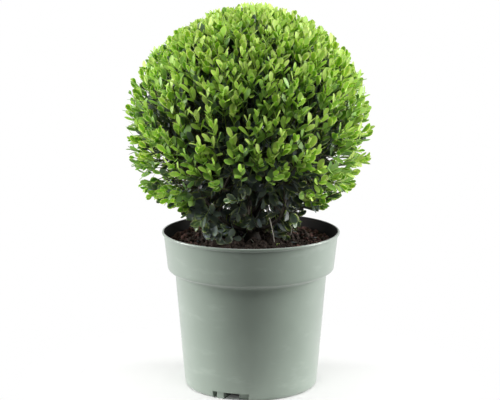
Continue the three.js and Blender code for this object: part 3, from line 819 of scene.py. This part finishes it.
def clipped_radius(spots):
    """The ball's radius in the direction of each spot: less at the flatter shoulder, and lumpy."""
    ways = unit(spots - CROWN_CENTRE)
    turn = np.linalg.norm(ways - np.array(FLAT_SHOULDER["towards"]), axis=-1)
    flat = FLAT_SHOULDER["deep"] * np.exp(-((turn / FLAT_SHOULDER["wide"]) ** 2))
    return CROWN_RADIUS + bulge(ways) + lumps(ways) - flat


def leaf_faces():
    """One leaf's faces: base 0, tip 1, then by station left edge, upper rib, right edge and lower rib."""
    stations = [[2 + 4 * k + side for side in range(4)] for k in range(len(LEAF_STATIONS))]
    rings = [[0] * 4, *stations, [1] * 4]
    faces = []
    for ring, beyond in zip(rings, rings[1:]):
        for side, beside in ((0, 1), (1, 2), (3, 0), (2, 3)):
            corners = (ring[beside], beyond[beside], beyond[side], ring[side])
            faces.append(tuple(dict.fromkeys(corners)))
    return faces


def leaf_points(leaves):
    """The corners of every leaf: a blade widest past its middle, folded along its midrib and curled."""
    along, across, face = leaves["along"], leaves["across"], leaves["face"]
    length = leaves["length"][:, None]
    widening, widest, rounding = LEAF_OUTLINE
    half = LEAF_STATIONS**widening * (1 - LEAF_STATIONS**widest) ** rounding
    half = half / half.max() * leaves["width"][:, None] / 2
    bow = leaves["curl"][:, None] * length * LEAF_STATIONS**2
    middle = leaves["root"][:, None] + along[:, None] * (LEAF_STATIONS * length)[..., None]
    middle = middle + face[:, None] * bow[..., None]
    rise = face[:, None] * (leaves["fold"][:, None] * half)[..., None]
    side = across[:, None] * half[..., None]
    thick = face[:, None] * LEAF_THICKNESS / 2
    stations = np.stack(
        [middle + side + rise, middle + thick, middle - side + rise, middle - thick], axis=2)
    base = leaves["root"] - along * LEAF_FOOT
    tip = leaves["root"] + along * length + face * leaves["curl"][:, None] * length
    return np.concatenate([base[:, None], tip[:, None], stations.reshape(len(base), -1, 3)], axis=1)


def leaves_on_shoots(foot, tip, kind, youth, rng):
    """Leaves in opposite pairs up each shoot, every pair square to the one below, closing to the tip."""
    pairs = kind["pairs"]
    size = (len(foot), 2 * pairs)
    first_tilt, last_tilt = kind.get("tilt", LEAF_TILT)
    axis = unit(tip - foot)
    side = unit(np.cross(axis, LEAF_SLANT))
    other = np.cross(axis, side)
    share = np.repeat(np.arange(1, pairs + 1) / pairs, 2)
    turn = np.repeat(np.arange(pairs), 2) * math.pi / 2 + np.tile([0, math.pi], pairs)
    turn = turn + rng.uniform(0, 2 * math.pi, (len(foot), 1)) + rng.normal(0, LEAF_VARIETY["turn"], size)
    outward = side[:, None] * np.cos(turn)[..., None] + other[:, None] * np.sin(turn)[..., None]
    tilt = first_tilt + (last_tilt - first_tilt) * share + rng.normal(0, LEAF_VARIETY["tilt"], size)
    tilt = np.radians(tilt)[..., None]
    axis = axis[:, None]
    along = axis * np.cos(tilt) + outward * np.sin(tilt)
    face = axis * np.sin(tilt) - outward * np.cos(tilt) + LEAF_UPTURN * UP
    face = face + rng.normal(0, LEAF_VARIETY["face"], along.shape)
    face = unit(face - along * np.sum(face * along, -1, keepdims=True))
    root = foot[:, None] + (tip - foot)[:, None] * (LEAF_LOWEST + (1 - LEAF_LOWEST) * share)[:, None]
    length = kind["longest"] * (1 - LEAF_SHORTENING * share**2)
    length = length * rng.normal(1, LEAF_VARIETY["length"], size)
    age = LEAF_AGE_AND_SHADE["range"] * (share - LEAF_AGE_AND_SHADE["middle"])
    age = youth[:, None] + age + rng.normal(0, LEAF_VARIETY["age"], size)
    leaves = {
        "root": root.reshape(-1, 3),
        "along": along.reshape(-1, 3),
        "across": np.cross(face, along).reshape(-1, 3),
        "face": face.reshape(-1, 3),
        "length": np.minimum(length.ravel(), reach_to(root, along, clipped_radius(root)).ravel()),
        "youth": age.ravel(),
    }
    many = age.size
    slimness = kind.get("slimness", LEAF_SLIMNESS)
    leaves["width"] = leaves["length"] * slimness * rng.normal(1, LEAF_VARIETY["width"], many)
    leaves["fold"] = rng.normal(*LEAF_FOLD, many)
    leaves["curl"] = rng.normal(*LEAF_CURL, many)
    tips = leaves["root"] + leaves["along"] * leaves["length"][:, None]
    middles = (leaves["root"] + tips) / 2
    return pick(leaves, (leaves["length"] > LEAF_SHORTEST) & over_underside(tips) & off_sky(middles))


def leafy(foot, tip, kind, youth, rng):
    """Shoots of one kind: their paths and their leaves."""
    path = bezier(foot, (foot + tip) / 2 + UP * kind["bend"], tip, SHOOT_STEPS)
    return path, leaves_on_shoots(foot, tip, kind, youth, rng)


def over_underside(spots):
    """Which spots lie above the plant's underside: it rises from the trunk out, but hangs low in front."""
    behind = np.hypot(spots[:, 0], spots[:, 1])
    out = np.where(spots[:, 1] < FRONT_GAP["behind"], FRONT_WIDTH * np.abs(spots[:, 0]), behind)
    return spots[:, 2] > np.interp(out, *UNDERSIDE) - np.where(spots[:, 0] < 0, LOWER_LEFT, 0)


def off_sky(spots):
    """Which spots stand clear of the lines of sight that pass through the gaps."""
    free = np.full(len(spots), True)
    eye_x, eye_y, eye_height = CAMERA_PLACE
    share = 1 - spots[:, 1] / eye_y
    for x, height, half in SKY_GAPS:
        aside = spots[:, 0] - eye_x - share * (x - eye_x)
        above = spots[:, 2] - eye_height - share * (height - eye_height)
        free &= np.hypot(aside, above) > half
    return free


def pick(leaves, chosen):
    return {name: values[chosen] for name, values in leaves.items()}


def outside_front_gap(spots, rng):
    """Which shoots stand clear of the open space under the ball's front, with a few left inside it."""
    below = FRONT_GAP["below"] - FRONT_GAP["slope"] * spots[:, 1]
    inside = (spots[:, 1] < FRONT_GAP["behind"]) & (spots[:, 2] < below)
    inside &= np.abs(spots[:, 0]) < FRONT_GAP["half_width"]
    return ~inside | (rng.random(len(spots)) < FRONT_GAP["kept"])


def nearest(spots, ways):
    """For each spot, the number of the way from the crown's centre that passes nearest to it."""
    return np.argmax(unit(spots - CROWN_CENTRE) @ ways.T, axis=1)


def towards_sides(ways):
    """How far each direction points to the left or right, rather than to the front or back: 0 to 1."""
    return np.abs(ways[:, 0]) / np.hypot(ways[:, 0], ways[:, 1])


def leaf_light_and_age(ways):
    """How much younger and lighter than its layer a shoot's leaves are tinted: darker under the ball,
    partly older leaves and partly painted shade; lighter to either side as painted light; darker on the
    far left as painted shade.
    """
    polar = np.degrees(np.arccos(ways[:, 2])) - SUNNY_SIDES * towards_sides(ways) ** 3
    return np.interp(polar, POLAR, LIGHT_AND_AGE) - SHADY_LEFT * np.clip(-ways[:, 0], 0, 1) ** 3


def upward(ways):
    """How far a shoot turns up to the light: less low down to either side, where it grows out for it."""
    polar = np.degrees(np.arccos(ways[:, 2]))
    aside = towards_sides(ways) ** 3
    return (1 - aside) * np.interp(polar, POLAR, UPWARD) + aside * np.interp(polar, POLAR, UPWARD_ASIDE)


def thinned(ways, layer, rng):
    """The directions left of a layer: fewer towards its underside and few in the openings to either side.

    The outermost layer also gathers on the lumps, and has few in the shaded hollows.
    """
    polar = np.degrees(np.arccos(ways[:, 2]))
    share = np.interp(polar, POLAR, layer["kept"])
    aside = towards_sides(ways)
    opened = (polar > OPENING["from"]) & (polar < OPENING["to"]) & (aside > OPENING["aside"])
    share = np.where(opened, share * layer["opened"], share)
    if layer is LAYERS[0]:
        share = share ** (1 - TUFTING * lumps(ways) / CROWN_LUMPS)
        for hollow in HOLLOWS:
            inside = np.linalg.norm(ways - np.array(hollow["towards"]), axis=1) < hollow["wide"]
            share = np.where(inside, share * hollow["kept"], share)
    return ways[rng.random(len(ways)) < share]


def ball_of_twigs(plans, rng):
    """Branches from the boughs' ends, twigs from the branches, and shoots: their paths, and the leaves."""
    ends = np.array([plan["curve"][-1] for plan in plans])
    onward = unit(np.array([plan["curve"][-1] - plan["curve"][-2] for plan in plans]))
    directions = np.array([plan["direction"] for plan in plans])
    ways = spread_directions(BRANCH["count"], BRANCH["turn"])
    reach = rng.normal(BRANCH["reach"], BRANCH["spread"], (BRANCH["count"], 1))
    hubs = CROWN_CENTRE + ways * reach
    hubs = hubs[hubs[:, 2] > BRANCH["lowest"]]
    owner = nearest(hubs, directions)
    branch = bezier(ends[owner], ends[owner] + BRANCH["bend"] * onward[owner], hubs, BRANCH_STEPS)
    twigs, shoots, leaves = [], [], []
    for layer in LAYERS:
        ways = thinned(spread_directions(layer["count"], layer["turn"]), layer, rng)
        foot = CROWN_CENTRE + ways * rng.normal(layer["foot"], SHOOT["scatter"], (len(ways), 1))
        growth = unit(ways + UP * upward(ways)[:, None] + rng.uniform(-1, 1, ways.shape) * SHOOT["wander"])
        edge = rng.normal(layer["tip"], layer["spread"], len(ways)) + bulge(ways) + lumps(ways)
        edge = np.minimum(edge, clipped_radius(foot) - SHOOT["inset"])
        tip = foot + growth * np.minimum(reach_to(foot, growth, edge), SHOOT["length"])[:, None]
        clear = over_underside(tip) & over_underside(foot) & outside_front_gap((foot + tip) / 2, rng)
        if layer is not LAYERS[0]:
            clear &= off_sky((foot + tip) / 2)
        foot, tip, ways = foot[clear], tip[clear], ways[clear]
        hub = hubs[nearest(foot, unit(hubs - CROWN_CENTRE))]
        twigs.append(bezier(hub, (hub + foot) / 2 + ways * TWIG_BEND, foot, TWIG_STEPS))
        standing = unit((foot + tip) / 2 - CROWN_CENTRE)
        youth = layer["youth"] + leaf_light_and_age(standing) + rng.normal(0, SHOOT["youth_spread"], len(ways))
        path, blades = leafy(foot, tip, SHOOT | layer, youth, rng)
        shoots.append(path)
        leaves.append(blades)
    return branch, np.concatenate(twigs), np.concatenate(shoots), leaves


def skirt_sprays(plans, rng):
    """Open sprays under the ball: a stem on from each low bough, with twigs to either side."""
    stems, shoots, leaves = [], [], []
    count = SKIRT["count"]
    odd = np.arange(count) % 2 == 1
    for plan in plans:
        if plan["tier"]["name"] != "skirt":
            continue
        start = plan["curve"][-1]
        onward = unit(start - plan["curve"][-2])
        sunny = abs(math.cos(plan["angle"])) > SIDEWAYS
        reach = around_axis(SIDE_REACH if sunny else SKIRT_REACH, plan["angle"])
        stem = bezier(start, start + onward * SKIRT_BEND, reach, count + 1)
        stems.append(stem)
        foot = stem[1:-1]
        sideways = around_axis((1, 0), plan["angle"] + math.pi / 2)
        swing = np.where(odd, -1, 1) * rng.uniform(*SKIRT["swing"], count)
        rise = np.where(odd, SKIRT["rise"], -SKIRT["droop"] * rng.random(count))
        growth = unit(np.gradient(stem, axis=0)[1:-1]) + sideways * swing[:, None] + UP * rise[:, None]
        growth = unit(growth)
        room = reach_to(foot, growth, CROWN_RADIUS - SKIRT["inset"])
        tip = foot + growth * np.minimum(rng.uniform(*SKIRT["length"], count), room)[:, None]
        tip[:, 2] = np.maximum(tip[:, 2], LOWEST_TIP)
        clear = over_underside(tip) & outside_front_gap((foot + tip) / 2, rng)
        at_foot, at_tip, spread = SUNNY_YOUTH if sunny else SHADED_YOUTH
        youth = np.linspace(at_foot, at_tip, count) + rng.normal(0, spread, count)
        youth = np.where(rng.random(count) < SKIRT["grey"], GREY_YOUTH, youth)
        path, blades = leafy(foot[clear], tip[clear], SKIRT, youth[clear], rng)
        shoots.append(path)
        leaves.append(blades)
    return np.array(stems), np.concatenate(shoots), leaves


def undergrowth(plans, rng):
    """Leafy shoots along the low boughs, in the shade between the ball and the soil, tinted dark partly as
    older leaves and partly as painted shade.
    """
    foot = np.concatenate([
        plan["curve"][rng.integers(LOW_SHOOT["from"], len(plan["curve"]), LOW_SHOOT["count"])]
        for plan in plans if plan["tier"]["name"] in ("lower", "skirt")])
    many = len(foot)
    outward = unit(foot * [1, 1, 0] + rng.normal(0, 1, foot.shape))
    growth = unit(outward * LOW_SHOOT["flatness"] + UP * rng.uniform(*LOW_SHOOT["lift"], (many, 1)))
    tip = foot + growth * rng.uniform(*LOW_SHOOT["length"], (many, 1))
    tip[:, 2] = np.maximum(tip[:, 2], LOWEST_TIP)
    clear = over_underside(tip) & outside_front_gap((foot + tip) / 2, rng)
    foot, tip = foot[clear], tip[clear]
    grey = rng.random(len(foot)) < LOW_SHOOT["grey"]
    youth = np.where(grey, GREY_YOUTH, rng.normal(*LOW_SHOOT["youth"], len(foot)))
    return leafy(foot, tip, LOW_SHOOT, youth, rng)


def grey_spray(rng):
    """The old spray that droops to the soil at the front: its stem, its twigs and round grey leaves."""
    count = GREY_TWIG["count"]
    stem = bezier(*GREY_SPRAY, count)
    foot = stem[1:]
    growth = unit(rng.normal(0, GREY_TWIG["wander"], foot.shape) + GREY_TWIG["growth"])
    tip = foot + growth * rng.uniform(*GREY_TWIG["length"], (count, 1))
    tip = tip + rng.normal(0, 1, foot.shape) * GREY_TWIG["scatter"]
    tip[:, 2] = np.maximum(tip[:, 2], GREY_TWIG["lowest"])
    return stem[None], *leafy(foot, tip, GREY_TWIG, np.full(count, GREY_YOUTH), rng)


def fallen_leaves(bed):
    """Single leaves that lie on the soil."""
    spots = np.array(FALLEN_LEAVES)
    many = len(spots)
    root = np.column_stack([spots[:, :2], lying_height(bed, spots[:, :2]) + FALLEN["above"]])
    bearing = np.radians(spots[:, 2])
    along = unit(np.column_stack([np.cos(bearing), np.sin(bearing), np.full(many, FALLEN["rise"])]))
    across = unit(np.cross(UP, along))
    return {
        "root": root, "along": along, "across": across, "face": np.cross(along, across),
        "length": spots[:, 3], "youth": spots[:, 4], "width": spots[:, 3] * FALLEN["slimness"],
        "fold": np.full(many, FALLEN["fold"]), "curl": np.full(many, FALLEN["curl"]),
    }


def crown(plans, bed, barks, rng):
    """All that grows on from the boughs, joined by kind: stems, twigs, shoots, and leaves by tint."""
    branch, twig, shoot, leaves = ball_of_twigs(plans, rng)
    stem, spray, spray_leaves = skirt_sprays(plans, rng)
    low_shoot, low_leaves = undergrowth(plans, rng)
    grey_stem, grey_twig, grey_leaves = grey_spray(rng)
    paths = {
        "branches": branch,
        "low_stems": stem,
        "drooping_stem": grey_stem,
        "bare_stalks": np.array([bezier(*path, STALK_STEPS) for path in BARE_STALKS]),
        "twigs": twig,
        "low_twigs": np.concatenate([spray, low_shoot, grey_twig]),
        "shoots": shoot,
    }
    pieces = []
    for name, path in paths.items():
        base, tip, kind = STEMS[name]
        points, faces = tubes(path, np.linspace(base, tip, path.shape[1]))
        pieces.append(joined(name, points, faces, barks[kind], SMOOTH["stem"]))
    leaves = [*leaves, *spray_leaves, low_leaves, grey_leaves, fallen_leaves(bed)]
    every = {name: np.concatenate([part[name] for part in leaves]) for name in grey_leaves}
    ceiling = math.inf
    for name, colour, least, gloss in LEAF_TINTS:
        chosen = (every["youth"] >= least) & (every["youth"] < ceiling)
        ceiling = least
        points = leaf_points(pick(every, chosen))
        blade = leaf_blade(f"{name}_leaf", colour, gloss)
        pieces.append(joined(f"leaves_{name}", points, leaf_faces(), blade, SMOOTH["leaf"]))
    return pieces


def place_camera():
    bpy.ops.object.camera_add(location=[coordinate * MM for coordinate in CAMERA_PLACE])
    camera = bpy.context.object
    camera.rotation_euler = (math.radians(90 - CAMERA_PITCH), 0, 0)
    camera.data.sensor_width = CAMERA_SENSOR
    camera.data.lens = CAMERA_LENS
    bpy.context.scene.camera = camera


def softbox(name, place, box):
    """A softbox at a place, turned to a height on the plant's axis and out of the camera's sight."""
    place = Vector(place) * MM
    aim = Vector((0, 0, box["aim"])) * MM
    bpy.ops.object.light_add(type="AREA", location=place)
    lamp = bpy.context.object
    lamp.name = name
    lamp.data.shape = "RECTANGLE"
    lamp.data.size = box["width"] * MM
    lamp.data.size_y = box["tall"] * MM
    lamp.data.energy = box["watts"]
    lamp.rotation_euler = (aim - place).to_track_quat("-Z", "Y").to_euler()
    lamp.visible_camera = False


def studio():
    """Softboxes to the sides and overhead, a backdrop that is white to the eye, and paper underfoot."""
    for name, turn in SIDE_BOXES.items():
        softbox(name, around_axis(SIDE_BOX["place"], math.radians(turn)), SIDE_BOX)
    softbox("top_softbox", TOP_BOX["place"], TOP_BOX)

    world = bpy.data.worlds.new("white_studio")
    bpy.context.scene.world = world
    world.use_nodes = True
    tree = world.node_tree
    tree.nodes.clear()
    backdrop = add_node(tree, "Background", {"Color": linear("#FFFFFF"), "Strength": 1.0})
    direction = add_node(tree, "TexCoord", output="Generated")
    back = add_node(tree, "SeparateXYZ", {0: direction}, "Y")
    up = add_node(tree, "SeparateXYZ", {0: direction}, "Z")
    behind = add_node(tree, "MapRange", {
        "Value": back, "From Min": BACKDROP_EDGE[0], "From Max": BACKDROP_EDGE[1],
        "To Min": ROOM_LIGHT, "To Max": BACKDROP_LIGHT})
    below = add_node(tree, "MapRange", {
        "Value": up, "From Min": FLOOR_EDGE[0], "From Max": FLOOR_EDGE[1],
        "To Min": FLOOR_LIGHT, "To Max": 0.0})
    brightest = add_node(tree, "Math", {0: behind, 1: below}, operation="MAXIMUM")
    room = add_node(tree, "Background", {"Color": linear("#FFFFFF"), "Strength": brightest})
    seen = add_node(tree, "LightPath", output="Is Camera Ray")
    mixed = add_node(tree, "MixShader", {0: seen, 1: room, 2: backdrop})
    add_node(tree, "OutputWorld", {"Surface": mixed})

    deselect()
    bpy.ops.mesh.primitive_plane_add(size=FLOOR_SIZE * MM)
    floor = bpy.context.object
    floor.name = "studio_floor"
    floor.data.materials.append(studio_paper())
    bpy.context.scene.view_settings.view_transform = "Standard"


def put(piece, slot, *nodes):
    """A finished piece rides with the plant and stands for some of the frame's nodes; its slot is not
    used.
    """
    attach(piece, "root")
    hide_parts(*nodes)


place_camera()
studio()
rng = np.random.default_rng(SEED)
plans = planned_boughs()
bough_nodes = [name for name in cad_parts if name.startswith("bough_")]
foliage_nodes = [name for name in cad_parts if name.startswith("foliage_")]

peats = {name: peat(name, *look) for name, look in PEATS.items()}
barks = {name: bark(name, *look) for name, look in BARKS.items()}

put(pot(), "pot", "pot")
bed = soil_bed(peats["moist_peat"])
put(bed, "soil", "soil")
for name, kind in CRUMBS.items():
    put(soil_crumbs(bed, name, peats[kind[-1]], rng), "soil")
put(trunk(barks["grey_holly_bark"]), "bark", "trunk")
put(boughs(plans, barks["grey_holly_bark"]), "bark", *bough_nodes)
for piece in crown(plans, bed, barks, rng):
    is_leaves = piece.name.startswith("leaves")
    put(piece, "foliage" if is_leaves else "bark", *(foliage_nodes if is_leaves else ()))
